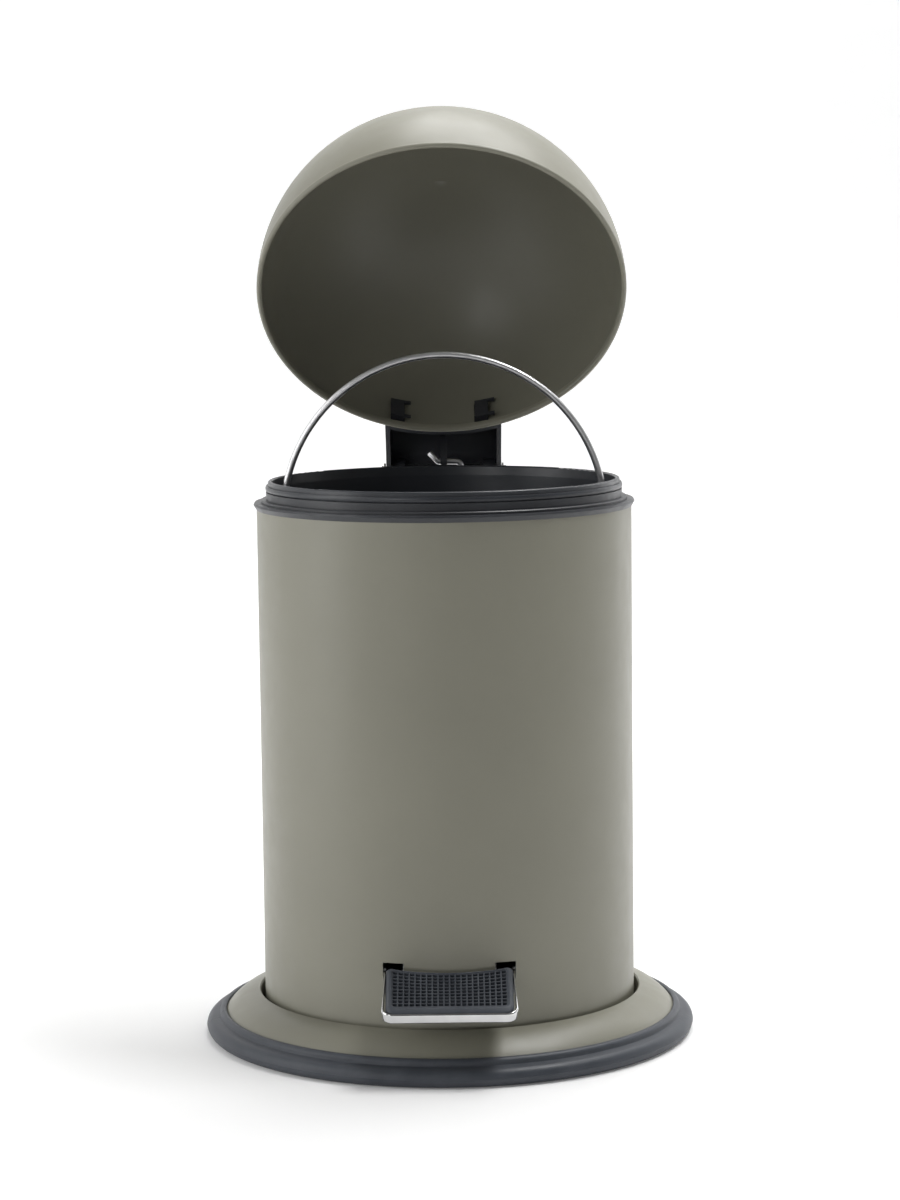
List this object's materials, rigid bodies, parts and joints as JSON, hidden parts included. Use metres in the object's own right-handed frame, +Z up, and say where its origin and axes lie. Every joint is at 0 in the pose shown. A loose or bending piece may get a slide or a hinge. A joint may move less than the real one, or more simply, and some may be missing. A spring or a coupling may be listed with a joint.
{
  "type": "pedal trash can",
  "caption": "Round pedal trash can with a domed hinged lid, a foot pedal with a push-rod linkage, a lift-out bucket with a wire bail and a wide round base",
  "frame": {"origin": "on the floor, on the axis of the cylindrical shell", "axes": "+X to the right seen from the pedal, -Y towards the pedal, +Z up"},
  "size_m": [0.2244, 0.24, 0.4224],
  "materials": {
    "sage_paint": "satin powder coat, sage grey",
    "black_rubber": "matt",
    "black_plastic": "semi-matt moulded",
    "bucket_plastic": "semi-matt moulded",
    "zinc_steel": "zinc plated",
    "bright_steel": "drawn wire",
    "chrome_plate": "polished"
  },
  "bodies": {
    "can": {"body_shell": "sage_paint", "base_ring": "sage_paint", "rubber_ring": "black_rubber", "base_plate": "zinc_steel", "base_screws": "bright_steel", "top_collar": "black_plastic", "hinge_block": "black_plastic", "hinge_block_screws": "bright_steel", "hinge_pin": "bright_steel", "hinge_pin_clips": "bright_steel", "rod_cover": "black_plastic", "rod_cover_screws": "bright_steel", "fulcrum_bracket": "zinc_steel", "fulcrum_rivets": "bright_steel", "pedal_pivot_pin": "bright_steel", "pivot_pin_clips": "bright_steel"},
    "pedal": {"pedal_plate": "chrome_plate", "pedal_pad": "black_rubber", "lever_arm": "zinc_steel", "lever_rivets": "bright_steel"},
    "lid": {"lid_dome": "sage_paint", "lid_bracket": "black_plastic"},
    "rod": {"push_rod": "bright_steel"},
    "bucket": {"inner_bucket": "bucket_plastic"},
    "bail": {"bail_handle": "bright_steel"}
  },
  "joints": [
    {"name": "lid_hinge", "type": "hinge", "parent": "can", "child": "lid", "pos_m": [0, 0.114, 0.25], "axis": [-1, 0, 0], "range_deg": [-51.7, 28.3]},
    {"name": "pedal_pivot", "type": "hinge", "parent": "can", "child": "pedal", "pos_m": [0, -0.064, 0.042], "axis": [1, 0, 0], "range_deg": [-6.37, 3.51]},
    {"name": "rod_pivot", "type": "hinge", "parent": "lid", "child": "rod", "pos_m": [0, 0.09356, 0.25475], "axis": [-1, 0, 0], "range_deg": [-28.8, 52.2]},
    {"name": "bucket_lift", "type": "slide", "parent": "can", "child": "bucket", "axis": [0, 0, 1], "range_m": [0, 0.012]},
    {"name": "bail_swing", "type": "hinge", "parent": "bucket", "child": "bail", "pos_m": [0, 0, 0.234], "axis": [1, 0, 0], "range_deg": [-84, 84]}
  ],
  "couplings": [
    {"joint": "pedal_pivot", "follows": "lid_hinge", "ratio": 0.122},
    {"joint": "rod_pivot", "follows": "lid_hinge", "ratio": -1}
  ]
}
